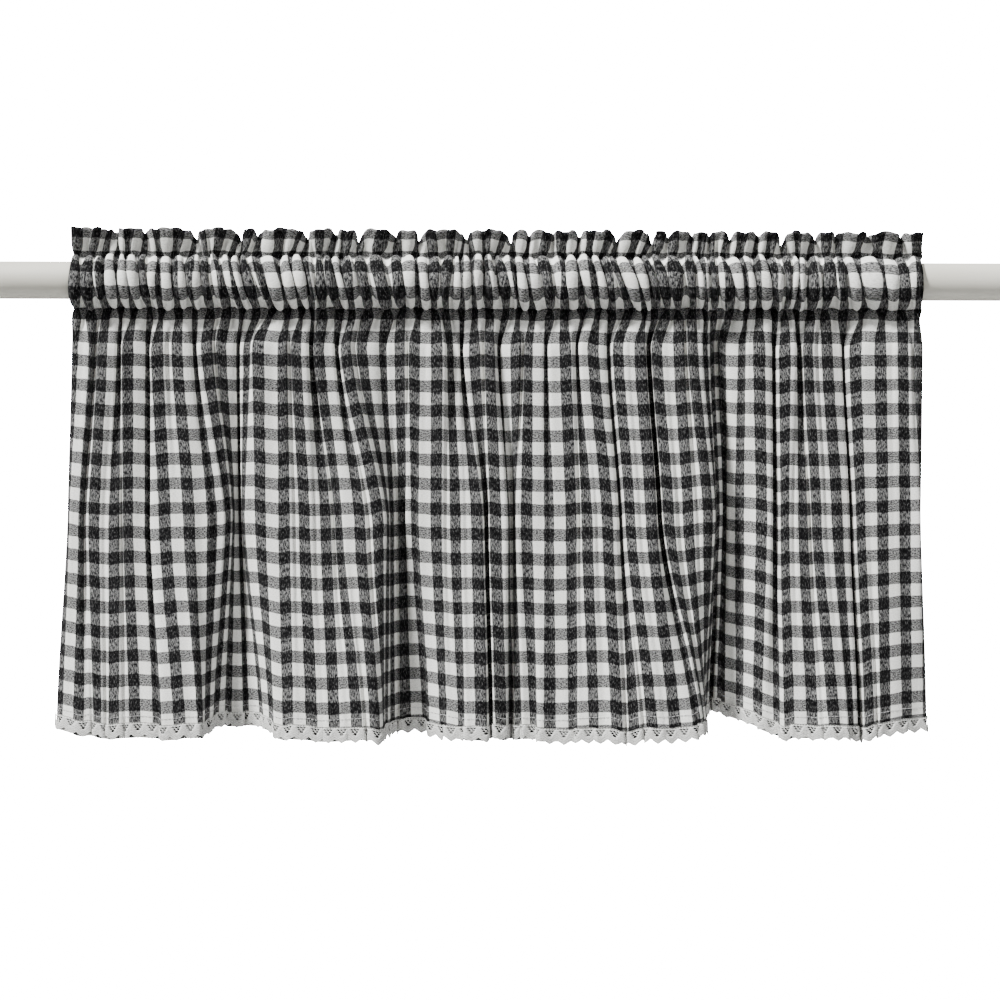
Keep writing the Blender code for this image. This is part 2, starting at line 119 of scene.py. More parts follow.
# The folds, from left to right. "stripe" counts the cloth's dark stripes from the left edge. The next
# three are the fold's place along the rod at each level, and the three after them how far out it
# stands there, all in millimetres. "lift" is how much higher the hem is hitched there.
Fold = namedtuple("Fold", "stripe shoulder middle hem out_shoulder out_middle out_hem lift")
FOLDS = (
    Fold(-0.22, 95, 91, 80, -2, -3, -6, 10),
    Fold(0.3, 102, 94, 88, 5, 5, 3, 8),
    Fold(0.75, 111, 102, 97, 6, 6, 5, 6),
    Fold(1.3, 116, 106, 109, -1, -1, 8, 5),
    Fold(2, 123, 116, 119, 8, 8, 9, 3),
    Fold(3, 138, 134, 135, 4, 6, 11, 2),
    Fold(4, 146, 146, 154, 8, 8, 13, 2),
    Fold(5, 163, 164, 176, 1, 3, 13, 2),
    Fold(6, 173, 180, 195, 8, 11, 17, 2),
    Fold(7, 190, 202, 213, 8, 12, 13, 2),
    Fold(8, 205, 222, 216, 2, 8, 0, 4),
    Fold(9, 217, 235, 222, 7, 1, -9, 7),
    Fold(10, 229, 240, 232, 6, -5, -15, 10),
    Fold(11, 243, 244, 248, -4, -12, -19, 12),
    Fold(12, 254, 249, 267, 4, -5, -12, 10),
    Fold(13, 263, 265, 277, 8, 8, 7, 3),
    Fold(14, 286, 287, 291, 8, 10, 15, 0),
    Fold(15, 296, 305, 313, 7, 10, 18, 0),
    Fold(16, 309, 324, 333, -2, 8, 20, 0),
    Fold(17, 317, 337, 354, 8, 11, 20, 0),
    Fold(18, 333, 355, 370, 0, 14, 23, 0),
    Fold(19, 341, 371, 377, 7, 14, 13, 0),
    Fold(20, 355, 380, 377, 8, 7, -4, 2),
    Fold(21, 376, 381, 382, -2, -5, -16, 5),
    Fold(22, 390, 393, 395, 7, -5, -19, 8),
    Fold(23, 403, 405, 415, 8, 0, -13, 8),
    Fold(24, 423, 423, 431, 8, 6, 0, 4),
    Fold(25, 433, 440, 448, 2, 6, 8, 1),
    Fold(26, 445, 459, 464, -3, 8, 12, 0),
    Fold(27, 457, 467, 472, 6, 1, 5, 1),
    Fold(28, 470, 476, 481, 8, 8, 10, 2),
    Fold(29, 478, 488, 490, 0, 4, -1, 2),
    Fold(30, 494, 493, 499, 8, 2, 5, 2),
    Fold(31, 504, 504, 513, 8, 8, 10, 1),
    Fold(33, 538, 544, 547, 7, 10, 15, 1),
    Fold(34, 548, 558, 565, 3, 11, 18, 2),
    Fold(35, 563, 576, 585, 8, 12, 22, 2),
    Fold(36, 577, 588, 600, -2, 4, 20, 2),
    Fold(37, 585, 596, 616, 7, 12, 21, 2),
    Fold(38, 605, 615, 637, 8, 14, 22, 3),
    Fold(39, 613, 623, 656, -1, 6, 18, 3),
    Fold(40, 620, 631, 664, 6, 12, 13, 4),
    Fold(41, 640, 648, 666, 8, 15, 1, 7),
    Fold(42, 652, 666, 665, 8, 15, -14, 12),
    Fold(43, 663, 674, 667, 0, 3, -27, 17),
    Fold(44, 670, 675, 673, -9, -12, -35, 20),
    Fold(45, 680, 684, 683, -8, -18, -31, 21),
    Fold(46, 699, 697, 699, 2, -5, -17, 18),
    Fold(47, 712, 715, 713, 8, 6, -3, 12),
    Fold(48, 725, 727, 731, -1, 1, 5, 4),
    Fold(49, 735, 734, 740, 8, 8, 10, 3),
    Fold(50, 748, 752, 760, 1, 6, 13, 3),
    Fold(51, 755, 763, 779, 7, 8, 16, 4),
    Fold(52, 773, 782, 793, 6, 10, 12, 4),
    Fold(53, 788, 795, 803, -2, 2, 1, 4),
    Fold(54, 798, 802, 811, 6, 7, 8, 4),
    Fold(55, 821, 823, 826, 8, 8, 7, 7),
    Fold(56, 841, 843, 846, 8, 6, 1, 12),
    Fold(57.23, 859, 859, 866, 5, 0, -8, 13),
)

# The notches in the ruffle's top edge, where it folds back: place along the rod and depth, in mm.
Notch = namedtuple("Notch", "along dip")
NOTCHES = (
    Notch(136, 2), Notch(159, 2), Notch(206, 8), Notch(248, 9), Notch(261, 4), Notch(307, 7),
    Notch(333, 4), Notch(352, 11), Notch(386, 6), Notch(406, 8), Notch(449, 7), Notch(490, 10),
    Notch(506, 4), Notch(527, 2), Notch(550, 4), Notch(585, 9), Notch(617, 12), Notch(630, 5),
    Notch(653, 3), Notch(667, 3), Notch(686, 7), Notch(711, 2), Notch(732, 13), Notch(763, 5),
    Notch(781, 1), Notch(811, 2), Notch(840, 2),
)

# How far the lace's points hang below the cloth's edge, in millimetres, by dark stripe.
Drop = namedtuple("Drop", "stripe below")
LACE_DROPS = (
    Drop(0, 0.4), Drop(8, 1.0), Drop(15, 1.0), Drop(17, 2.6), Drop(19, 4.6), Drop(24, 4.4),
    Drop(25.5, 1.2), Drop(31, 1.2), Drop(33, 4.0), Drop(36, 5.4), Drop(40, 5.4),
    Drop(42, 1.0), Drop(49, 1.6), Drop(51, 3.0), Drop(52.5, 4.6), Drop(57, 4.6),
)

# Where the weft lies on the pocket's front: the angle above the rod's axis, and the place in the
# cloth in mm.
PocketLine = namedtuple("PocketLine", "degrees place")
POCKET_LINES = (
    PocketLine(-90, 0), PocketLine(-42, 11.3), PocketLine(-16, 22.4), PocketLine(14, 33.5),
    PocketLine(42, 44.6), PocketLine(90, 62.0),
)

# The openwork of one lace motif: place along it as a share, then place below its top edge and the
# half width and half height of the hole, in mm.
Hole = namedtuple("Hole", "share below half_width half_height")
LACE_HOLES = (
    Hole(0.10, 0.9, 0.46, 0.30), Hole(0.30, 0.9, 0.46, 0.30), Hole(0.50, 0.9, 0.46, 0.30),
    Hole(0.70, 0.9, 0.46, 0.30), Hole(0.90, 0.9, 0.46, 0.30),
    Hole(0.27, 2.9, 0.95, 0.66), Hole(0.50, 2.9, 1.15, 0.75), Hole(0.73, 2.9, 0.95, 0.66),
    Hole(0.36, 4.7, 1.20, 0.85), Hole(0.64, 4.7, 1.20, 0.85),
    Hole(0.50, 6.7, 1.60, 1.10),
)

# Soft wrinkles that run down the skirt: waves to a check repeat, sideways drift, phase and depth in mm.
Wrinkle = namedtuple("Wrinkle", "waves drift phase depth")
WRINKLES = (
    Wrinkle(0.83, 1.7, 0.4, 0.35),
    Wrinkle(1.37, -2.3, 1.9, 0.28),
    Wrinkle(0.53, 3.1, 4.0, 0.45),
)

# The photograph's frame at the rod: its width, its middle (along, up), the camera's distance and roll.
FRAME_WIDTH = 0.9
FRAME_CENTRE = (0.48, -0.197)
CAMERA_DISTANCE = 2.0
CAMERA_ROLL = math.radians(-0.12)

# The light: the surround's strength above and below, the white ground's, and two soft distant lamps.
# The pale floor lies as far below the rod as under a window.
SURROUND_ABOVE = 0.80
SURROUND_BELOW = 0.06
WHITE_GROUND = 40.0
FLOOR_HEIGHT = -2.1
FLOOR_RADIUS = 1.6
Light = namedtuple("Light", "name azimuth elevation spread strength")
LIGHTS = (
    Light("key", -56.0, 46.0, 9.0, 11.2),
    Light("fill", 30.0, 14.0, 40.0, 1.0),
)

FLAT = np.linspace(0.0, CLOTH_WIDTH, FINE_STEPS + 1)


def stripe_place(stripe):
    """The place in the flat cloth of the middle of a dark stripe, in metres."""
    return np.clip((np.asarray(stripe) + FIRST_STRIPE) * STRIPE_REPEAT, 0.0, CLOTH_WIDTH)


def fold_column(name):
    """One named column of the fold table, in metres."""
    return np.array([getattr(fold, name) for fold in FOLDS]) * MILLIMETRE


FOLD_PLACES = stripe_place([fold.stripe for fold in FOLDS])


def softened(values, width):
    """Values on the fine steps, averaged over a bell that wide."""
    half = max(1, round(width / (FLAT[1] - FLAT[0])))
    bell = np.hanning(2 * half + 1)
    padded = np.pad(values, half, mode="edge")
    return np.convolve(padded, bell / bell.sum(), mode="valid")


def lobe_phase(flat):
    """The phase of the pocket's lobes, which are finer than the skirt's gathers and less even."""
    share = flat / CLOTH_WIDTH
    uneven = 0.16 * np.sin(math.tau * 9 * share + 1.0) + 0.10 * np.sin(math.tau * 17 * share + 2.1)
    uneven += 0.05 * np.sin(math.tau * 31 * share)
    return math.tau * (LOBES * share + uneven)


def swing_for(ratio):
    """The swing of a meander, in radians, whose chord is this share of its length (inverse of J0)."""
    swings = np.linspace(0.0, 2.0, 201)
    turns = np.linspace(0.0, math.tau, 65)[:-1]
    shares = np.cos(swings[:, None] * np.sin(turns)).mean(axis=1)
    return np.interp(-np.asarray(ratio), -shares, swings)


def plan_line(along, out):
    """The skirt's line at one level, seen from above, as (along the rod, out) on the fine steps.

    It passes through the folds' places along the rod. The cloth that isn't needed to reach from one
    fold to the next stands in the steep walls of a narrow groove: at the deeper of the two folds, or
    half way between two that stand out about as far.
    """
    broad = softened(np.interp(FLAT, FOLD_PLACES, out), BROAD_FOLD)
    steps_along, steps_out = np.diff(along), np.diff(np.interp(FOLD_PLACES, FLAT, broad))
    lengths = np.diff(FOLD_PLACES)
    slack = np.maximum(lengths - np.hypot(steps_along, steps_out), 0.0)
    walls = np.minimum(slack / (1 - math.cos(WALL_SLOPE)), 0.9 * lengths)
    slope = np.zeros(len(FLAT))
    for start, end, wall, rise in zip(FOLD_PLACES[:-1], FOLD_PLACES[1:], walls, np.diff(out)):
        middle = (start + end) / 2
        if rise > EVEN_FOLDS:
            slope += (FLAT >= start) & (FLAT < start + wall)
        elif rise < -EVEN_FOLDS:
            slope -= (FLAT >= end - wall) & (FLAT < end)
        else:
            slope += np.sign(FLAT - middle) * (np.abs(FLAT - middle) < wall / 2)
    part = np.clip(np.searchsorted(FOLD_PLACES, FLAT, side="right") - 1, 0, len(lengths) - 1)
    heading = softened(np.arctan2(steps_out, steps_along)[part], WALL_SOFTNESS)
    turn = np.clip(heading + WALL_SLOPE * softened(slope, LIP_SOFTNESS), -STEEPEST, STEEPEST)
    step = FLAT[1] - FLAT[0]
    x = along[0] + np.concatenate([[0.0], np.cumsum(np.cos(turn[:-1]) * step)])
    y = np.concatenate([[0.0], np.cumsum(np.sin(turn[:-1]) * step)])
    x += np.interp(FLAT, FOLD_PLACES, along - np.interp(FOLD_PLACES, FLAT, x))
    return x, broad + y - softened(y, BROAD_FOLD)


def lobed_line(along, phase):
    """A line through these places that meanders with the phase, so that it keeps the cloth's length."""
    chord = np.diff(along)
    ratio = np.clip(chord / np.diff(FOLD_PLACES), 0.5, 0.995)
    part = np.clip(np.searchsorted(FOLD_PLACES, FLAT, side="right") - 1, 0, len(chord) - 1)
    turn = np.clip(softened(swing_for(ratio)[part], WALL_SOFTNESS) * np.sin(phase), -STEEPEST, STEEPEST)
    step = FLAT[1] - FLAT[0]
    x = along[0] + np.concatenate([[0.0], np.cumsum(np.cos(turn[:-1]) * step)])
    y = np.concatenate([[0.0], np.cumsum(np.sin(turn[:-1]) * step)])
    return x + np.interp(FLAT, FOLD_PLACES, along - np.interp(FOLD_PLACES, FLAT, x)), y


def pocket_along():
    """The folds' places along the rod at the pocket: as at the shoulder, but more evenly spread."""
    shoulder = np.interp(FLAT, FOLD_PLACES, fold_column("shoulder"))
    straight = np.linspace(shoulder[0], shoulder[-1], len(FLAT))
    return np.interp(FOLD_PLACES, FLAT, straight + softened(shoulder - straight, POCKET_EVENNESS))


def pocket_line():
    """The lobes at the pocket: (along, out, how far the fullness of a lobe moves its sides)."""
    phase = lobe_phase(FLAT)
    along, out = lobed_line(pocket_along(), phase)
    wave = out - softened(out, 1.5 * CHECK_REPEAT)
    pace = softened(np.gradient(along), CHECK_REPEAT) / np.gradient(phase)
    return along, wave * np.where(wave > 0, LOBE_RISE, CREASE_DEPTH), -LOBE_LEAN * pace * np.sin(phase)


def slant(flat, height):
    """How far the lobes lean aside at a height that is 1 at the upper seam and -1 at the lower one."""
    repeats = flat / CHECK_REPEAT
    lean = np.sin(math.tau * 0.043 * repeats + 0.9) + 0.8 * np.sin(math.tau * 0.117 * repeats + 2.0)
    from_side = np.clip(np.minimum(flat, CLOTH_WIDTH - flat) / (4 * CHECK_REPEAT), 0.0, 1.0)
    lean += 0.5 * np.sin(math.tau * 0.37 * repeats)
    return (LOBE_SLANT * lean - LOBE_DRIFT) * from_side * height


def unevenness(flat):
    """How far up or down the stitches and the weft stray along the pocket."""
    repeats = flat / CHECK_REPEAT
    stray = np.sin(math.tau * 0.41 * repeats + 0.3) + 0.8 * np.sin(math.tau * 1.13 * repeats + 1.7)
    return LOBE_STRAY * (stray + 0.7 * np.sin(math.tau * 0.163 * repeats + 4.0))


def weft_jog():
    """How far the cloth between each two folds hangs above or below its neighbours."""
    turns = np.arange(len(FOLDS))
    jogs = WEFT_JOG * (np.sin(2.4 * turns + 0.6) + 0.6 * np.sin(1.1 * turns + 2.0))
    part = np.clip(np.searchsorted(FOLD_PLACES, FLAT, side="right") - 1, 0, len(FOLDS) - 2)
    return softened(jogs[part], WALL_SOFTNESS / 2)


def spread(full):
    """How much of a lobe's fullness shows: at the seams its tip is narrower than the crease beside it."""
    return 1.6 * full - 0.6


def ruffle_line(along):
    """The ruffle's top edge, given the pocket's places: (along, out, how far its edge dips).

    It stands out in a roll between each two notches. The first and last roll end half way, at the sides.
    """
    notches = np.array([n.along for n in NOTCHES]) * MILLIMETRE
    stops = np.concatenate([[2 * along[0] - notches[0]], notches, [2 * along[-1] - notches[-1]]])
    dips = np.array([0] + [n.dip for n in NOTCHES] + [0]) * MILLIMETRE
    turns = math.tau * np.interp(along, stops, np.arange(len(stops)))
    widths = np.interp(along, (stops[1:] + stops[:-1]) / 2, np.diff(stops))
    at_notch = (1 + np.cos(turns)) / 2
    depth = np.clip(RUFFLE_WAVE * widths / 0.030, 0.3 * RUFFLE_WAVE, RUFFLE_WAVE)
    out = depth * (1 - 2 * at_notch**2)
    dip = np.interp(along, stops, dips) * at_notch**RUFFLE_ROUND
    return along - RUFFLE_LEAN * widths / math.tau * np.sin(turns), out, dip


def levels():
    """The plan line at each level of the cloth, by name."""
    along, out, fullness = pocket_line()
    return {
        "ruffle": ruffle_line(along),
        "pocket": (along, out, fullness),
        "shoulder": plan_line(fold_column("shoulder"), fold_column("out_shoulder")),
        "middle": plan_line(fold_column("middle"), fold_column("out_middle")),
        "hem": plan_line(fold_column("hem"), fold_column("out_hem")),
    }


def eased(share):
    return share * share * (3 - 2 * share)


def skirt_rows(lines):
    """The skirt on close rows from the lower seam to the hem: (drops, along, out, height).

    The threads keep their length as they swing in and out, so a fold that leans lifts the hem.
    """
    drops = np.linspace(0.0, SKIRT_LENGTH + SKIRT_BEYOND, SKIRT_STEPS)
    stations = [0.0, SHOULDER_DROP, MIDDLE_DROP, SKIRT_LENGTH]
    named = [lines[name] for name in ("pocket", "shoulder", "middle", "hem")]
    along, out = [], []
    for drop in drops:
        last = min(int(np.searchsorted(stations, drop, side="right")) - 1, len(stations) - 2)
        share = (drop - stations[last]) / (stations[last + 1] - stations[last])
        share = share if share > 1 else eased(share) * 0.5 + share * 0.5
        along.append(named[last][0] * (1 - share) + named[last + 1][0] * share)
        out.append(named[last][1] * (1 - share) + named[last + 1][1] * share)
    opened = eased(np.clip(drops / PINCH_REACH, 0.0, 1.0))[:, None]
    near_seam = 1 - eased(np.clip(drops / SHOULDER_DROP, 0.0, 1.0))[:, None]
    along = np.array(along) + (lines["pocket"][2] * spread(opened) + slant(FLAT, -1.0)) * near_seam
    out = np.array(out) * (SEAM_PINCH + (1 - SEAM_PINCH) * opened) + SEAM_OUT
    sideways = np.hypot(np.diff(along, axis=0), np.diff(out, axis=0))
    fall = np.sqrt(np.maximum(np.diff(drops)[:, None] ** 2 - sideways**2, 0.0))
    fall = np.array([softened(row, CHECK_REPEAT) for row in fall])
    fallen = np.vstack([np.zeros(len(FLAT)), np.cumsum(fall, axis=0)])
    lift = softened(np.interp(FLAT, FOLD_PLACES, fold_column("lift")), 4 * WALL_SOFTNESS)
    hitched = lift * (drops / SKIRT_LENGTH)[:, None] + weft_jog() * (1 - near_seam)
    return drops, along, out, hitched - SEAM_BELOW - fallen + unevenness(FLAT) * near_seam


def skirt_points(skirt, flat, drop):
    """Points (N, 3) of the skirt at these places in the flat cloth and this drop below the seam."""
    drops, *fields = skirt
    row = np.interp(drop, drops, np.arange(len(drops)))
    low = np.minimum(np.floor(row).astype(int), len(drops) - 2)
    share = row - low
    column = flat / (FLAT[1] - FLAT[0])
    left = np.clip(np.floor(column).astype(int), 0, len(FLAT) - 2)
    side = column - left
    along, out, height = (
        (f[low, left] * (1 - side) + f[low, left + 1] * side) * (1 - share)
        + (f[low + 1, left] * (1 - side) + f[low + 1, left + 1] * side) * share
        for f in fields
    )
    return np.column_stack([along, -out, height])


def pocket_points(lines, flat, degrees, side):
    """Points on one wall of the pocket, at this angle above the rod's axis.

    The side is 1 in front and -1 behind. Each gather is a lobe that stays full until close to the
    seams, where the stitches pinch it. Half way up, the lobes bend a little to one side or the
    other, and some are fuller than others.
    """
    along, wave, fullness = (np.interp(flat, FLAT, line) for line in lines["pocket"])
    angle = math.radians(degrees)
    repeats = flat / CHECK_REPEAT
    full = abs(math.cos(angle)) ** 0.45
    bend = np.sin(math.tau * 0.31 * repeats + side) + np.sin(math.tau * 0.83 * repeats + 2 * angle)
    along = along + fullness * spread(full**1.4) + LOBE_BEND * bend * math.cos(angle)
    along += slant(flat, math.sin(angle))
    fuller = 1 + FULLNESS_VARIES * np.sin(math.tau * 0.57 * repeats + 1.5 * angle)
    radius = SEAM_HEIGHT + (POCKET_BULGE - SEAM_HEIGHT) * math.cos(angle) + side * wave * full * fuller
    radius = np.maximum(radius, ROD_RADIUS + ROD_CLEARANCE)
    seam_pull = (1 - full) * (SEAM_PINCH * wave + SEAM_OUT)
    height = radius * math.sin(angle) * (SEAM_BELOW / SEAM_HEIGHT if degrees < 0 else 1.0)
    height += unevenness(flat)
    return np.column_stack([along, -side * radius * math.cos(angle) - seam_pull, height])


def heading_points(lines, flat, share):
    """Points of the ruffle above the pocket; share is 0 at the upper seam and 1 at its top edge."""
    along_low, wave, fullness = (np.interp(flat, FLAT, line) for line in lines["pocket"])
    along_top, out_top, dip = (np.interp(flat, FLAT, line) for line in lines["ruffle"])
    opened = share**0.9
    low = along_low + slant(flat, 1.0) + fullness * spread(min(1.0, 2.5 * share))
    along = low * (1 - opened) + along_top * opened
    full = SEAM_PINCH + (1 - SEAM_PINCH) * min(1.0, 2.5 * share)
    out = full * wave * (1 - opened) + out_top * opened + SEAM_OUT + HEADING_LEAN * share
    repeats = flat / CHECK_REPEAT
    stray = np.sin(math.tau * 0.93 * repeats) + np.sin(math.tau * 1.71 * repeats + 1.0)
    height = (HEADING_HEIGHT - HEADING_SLOPE * flat / CLOTH_WIDTH + RUFFLE_STRAY * stray) * share
    height -= dip * share**2
    return np.column_stack([along, -out, SEAM_HEIGHT + height + unevenness(flat) * (1 - share)])


def outward_normals(points):
    """Unit normals of a (rows, columns, 3) grid whose rows go up and whose columns go right."""
    right = np.gradient(points, axis=1)
    up = np.gradient(points, axis=0)
    normal = np.cross(right, up)
    return normal / np.maximum(np.linalg.norm(normal, axis=2, keepdims=True), 1e-12)


def wrinkle_depth(flat, drop):
    """How far the small wrinkles stand out at a place in the skirt."""
    repeats = flat / CHECK_REPEAT
    depth = np.zeros_like(flat)
    for w in WRINKLES:
        drift = w.drift * np.sin(2.2 * drop / SKIRT_LENGTH + w.phase)
        depth += w.depth * MILLIMETRE * np.sin(math.tau * w.waves * repeats + drift + w.phase)
    return depth * np.minimum(1.0, drop / SHOULDER_DROP)


def cloth_rows(lines, skirt, flat):
    """The sheet, row by row from the edge turned up inside the hem to the end behind the pocket.

    Returns the points (rows, columns, 3) and each row's place along the cloth in metres, which is 0
    at the lower seam and grows upwards.
    """
    skirt_drops = np.concatenate([
        np.linspace(SKIRT_LENGTH, SKIRT_LENGTH - HEM_DEPTH, 5),
        np.linspace(SKIRT_LENGTH - HEM_DEPTH, 0.040, 42)[1:],
        np.linspace(0.040, 0.0, 17)[1:],
    ])
    front = np.array([skirt_points(skirt, flat, drop) for drop in skirt_drops])
    wrinkles = np.array([wrinkle_depth(flat, drop) for drop in skirt_drops])
    front += outward_normals(front) * wrinkles[:, :, None]

    hem_rows = 4
    hem_back = front[hem_rows:0:-1] - outward_normals(front)[hem_rows:0:-1] * TURNING_GAP
    hem_fold = front[:1] - outward_normals(front)[:1] * TURNING_GAP / 2
    hem_fold[:, :, 2] -= TURNING_GAP / 3
    hem_places = -(2 * SKIRT_LENGTH - skirt_drops[hem_rows:0:-1])

    angles = np.linspace(-90.0, 90.0, 21)[1:]
    pocket_front = np.array([pocket_points(lines, flat, a, 1) for a in angles])
    pocket_places = np.interp(angles, [p.degrees for p in POCKET_LINES], [p.place for p in POCKET_LINES])
    pocket_places *= MILLIMETRE
    shares = np.linspace(0.0, 1.0, 9)[1:]
    heading = np.array([heading_points(lines, flat, s) for s in shares])
    heading_places = POCKET_CUT + shares * HEADING_HEIGHT
    behind = heading[::-1] - outward_normals(heading)[::-1] * 2 * TURNING_GAP
    behind[0] += [0.0, 0.0, -TURNING_GAP / 2]
    behind_places = heading_places[-1] + (1 - shares[::-1]) * HEADING_HEIGHT + TURNING_GAP
    back_angles = np.linspace(90.0, -90.0, 14)[:-1]
    pocket_back = np.array([pocket_points(lines, flat, a, -1) for a in back_angles])
    back_start = behind_places[-1] + 0.003
    back_places = back_start + (90.0 - back_angles) / 180.0 * POCKET_CUT
    end_drops = np.array([0.002, BACK_ALLOWANCE / 2, BACK_ALLOWANCE])
    end = np.array([skirt_points(skirt, flat, drop) for drop in end_drops])
    end[:, :, 1] += TURNING_GAP * 1.5
    end_places = back_places[-1] + 0.004 + end_drops

    points = np.concatenate([hem_back, hem_fold, front, pocket_front, heading, behind, pocket_back, end])
    places = np.concatenate([
        hem_places, [-SKIRT_LENGTH - TURNING_GAP / 2], -skirt_drops, pocket_places, heading_places,
        behind_places, back_places, end_places,
    ])
    return points, places


def with_side_turnings(points, places, flat):
    """Adds the side hems, turned to the back along both side edges, and the flat coordinates."""
    turned = TURNING_GAP * outward_normals(points)
    count = SIDE_TURN_COLUMNS
    left = (points - turned)[:, count:0:-1]
    right = (points - turned)[:, -2 : -2 - count : -1]
    sheet = np.concatenate([left, points, right], axis=1)
    step = flat[1] - flat[0]
    before = flat[0] - step * np.arange(count, 0, -1)
    after = flat[-1] + step * np.arange(1, count + 1)
    across = np.concatenate([before, flat, after])
    flat_grid = np.stack(np.broadcast_arrays(across[None, :], places[:, None]), axis=2)
    return sheet, flat_grid


def grid_object(name, points, flat_grid, material, kept=None):
    """An object over a (rows, columns, 3) grid of points, with flat coordinates as its UV map."""
    rows, columns = points.shape[:2]
    corner = (np.arange(rows - 1)[:, None] * columns + np.arange(columns - 1)).ravel()
    faces = np.column_stack([corner, corner + 1, corner + columns + 1, corner + columns])
    if kept is not None:
        faces = faces[kept.ravel()]
    used, faces = np.unique(faces, return_inverse=True)
    faces = faces.reshape(-1, 4)
    mesh = bpy.data.meshes.new(name)
    mesh.from_pydata(points.reshape(-1, 3)[used].tolist(), [], faces.tolist())
    mesh.shade_smooth()
    layer = mesh.uv_layers.new(name="flat")
    layer.uv.foreach_set("vector", flat_grid.reshape(-1, 2)[used][faces.ravel()].ravel())
    mesh.materials.append(material)
    made = bpy.data.objects.new(name, mesh)
    bpy.context.scene.collection.objects.link(made)
    return made


def thread_object(name, paths, radius, material, sides=5):
    """Short threads, each a tube along its own path of points, as one object."""
    vertices, faces = [], []
    turns = np.linspace(0.0, math.tau, sides, endpoint=False)
    for path in paths:
        path = np.asarray(path)
        forward = np.gradient(path, axis=0)
        forward /= np.linalg.norm(forward, axis=1)[:, None]
        side = np.cross(forward, [0.0, -1.0, 0.0])
        side /= np.maximum(np.linalg.norm(side, axis=1)[:, None], 1e-9)
        rise = np.cross(side, forward)
        start = len(vertices)
        for centre, s, r in zip(path, side, rise):
            vertices.extend(centre + radius * (math.cos(t) * s + math.sin(t) * r) for t in turns)
        for ring in range(len(path) - 1):
            for k in range(sides):
                a = start + ring * sides + k
                b = start + ring * sides + (k + 1) % sides
                faces.append((a, b, b + sides, a + sides))
        faces.append(tuple(start + k for k in range(sides))[::-1])
        last = start + (len(path) - 1) * sides
        faces.append(tuple(last + k for k in range(sides)))
    mesh = bpy.data.meshes.new(name)
    mesh.from_pydata([tuple(v) for v in vertices], [], faces)
    mesh.shade_smooth()
    mesh.materials.append(material)
    made = bpy.data.objects.new(name, mesh)
    bpy.context.scene.collection.objects.link(made)
    return made


def add_node(tree, kind, inputs=(), **settings):
    """A shader node; inputs is a dict of socket to value or to the socket that feeds it."""
    made = tree.nodes.new(kind)
    for key, value in settings.items():
        setattr(made, key, value)
    for key, value in dict(inputs).items():
        if isinstance(value, bpy.types.NodeSocket):
            tree.links.new(value, made.inputs[key])
        else:
            made.inputs[key].default_value = value
    return made


def calculate(tree, operation, *values, clamp=False):
    inputs = dict(enumerate(values))
    return add_node(tree, "ShaderNodeMath", inputs, operation=operation, use_clamp=clamp).outputs[0]


def mixed(tree, share, first, second):
    """A colour between two colours, each a socket or three linear values."""
    colours = [c if isinstance(c, bpy.types.NodeSocket) else (*c, 1.0) for c in (first, second)]
    inputs = {"Factor": share, "A": colours[0], "B": colours[1]}
    made = tree.nodes.new("ShaderNodeMix")
    made.data_type = "RGBA"
    sockets = {"Factor": made.inputs[0], "A": made.inputs[6], "B": made.inputs[7]}
    for key, value in inputs.items():
        if isinstance(value, bpy.types.NodeSocket):
            tree.links.new(value, sockets[key])
        else:
            sockets[key].default_value = value
    return made.outputs[2]


def ranged(tree, value, low, high, to_low=0.0, to_high=1.0):
    inputs = {"Value": value, "From Min": low, "From Max": high, "To Min": to_low, "To Max": to_high}
    return add_node(tree, "ShaderNodeMapRange", inputs, interpolation_type="SMOOTHSTEP").outputs[0]


def noise(tree, vector, scale, detail=2.0, rough=0.5):
    """Noise over a vector that is first stretched by a scale of three values."""
    stretched = add_node(tree, "ShaderNodeVectorMath", {0: vector, 1: scale}, operation="MULTIPLY")
    inputs = {"Vector": stretched.outputs[0], "Scale": 1.0, "Detail": detail, "Roughness": rough}
    return add_node(tree, "ShaderNodeTexNoise", inputs).outputs["Fac"]


def new_material(name, roughness, sheen=0.0):
    """A material and its node tree, Principled shader included."""
    material = bpy.data.materials.new(name)
    material.use_nodes = True
    tree = material.node_tree
    shader = tree.nodes["Principled BSDF"]
    shader.inputs["Roughness"].default_value = roughness
    shader.inputs["Sheen Weight"].default_value = sheen
    shader.inputs["Specular IOR Level"].default_value = 0.08
    return material, tree, shader


def dark_stripe(tree, place, repeat, centre, wobble):
    """1 in the dark stripes and 0 in the white ones, along one direction of the flat cloth."""
    turns = calculate(tree, "DIVIDE", calculate(tree, "SUBTRACT", place, centre), repeat)
    turns = calculate(tree, "ADD", calculate(tree, "ADD", turns, 0.5), wobble)
    signed = calculate(tree, "SUBTRACT", calculate(tree, "FRACT", turns), 0.5)
    off_centre = calculate(tree, "ABSOLUTE", signed)
    return ranged(tree, off_centre, 0.262, 0.238)


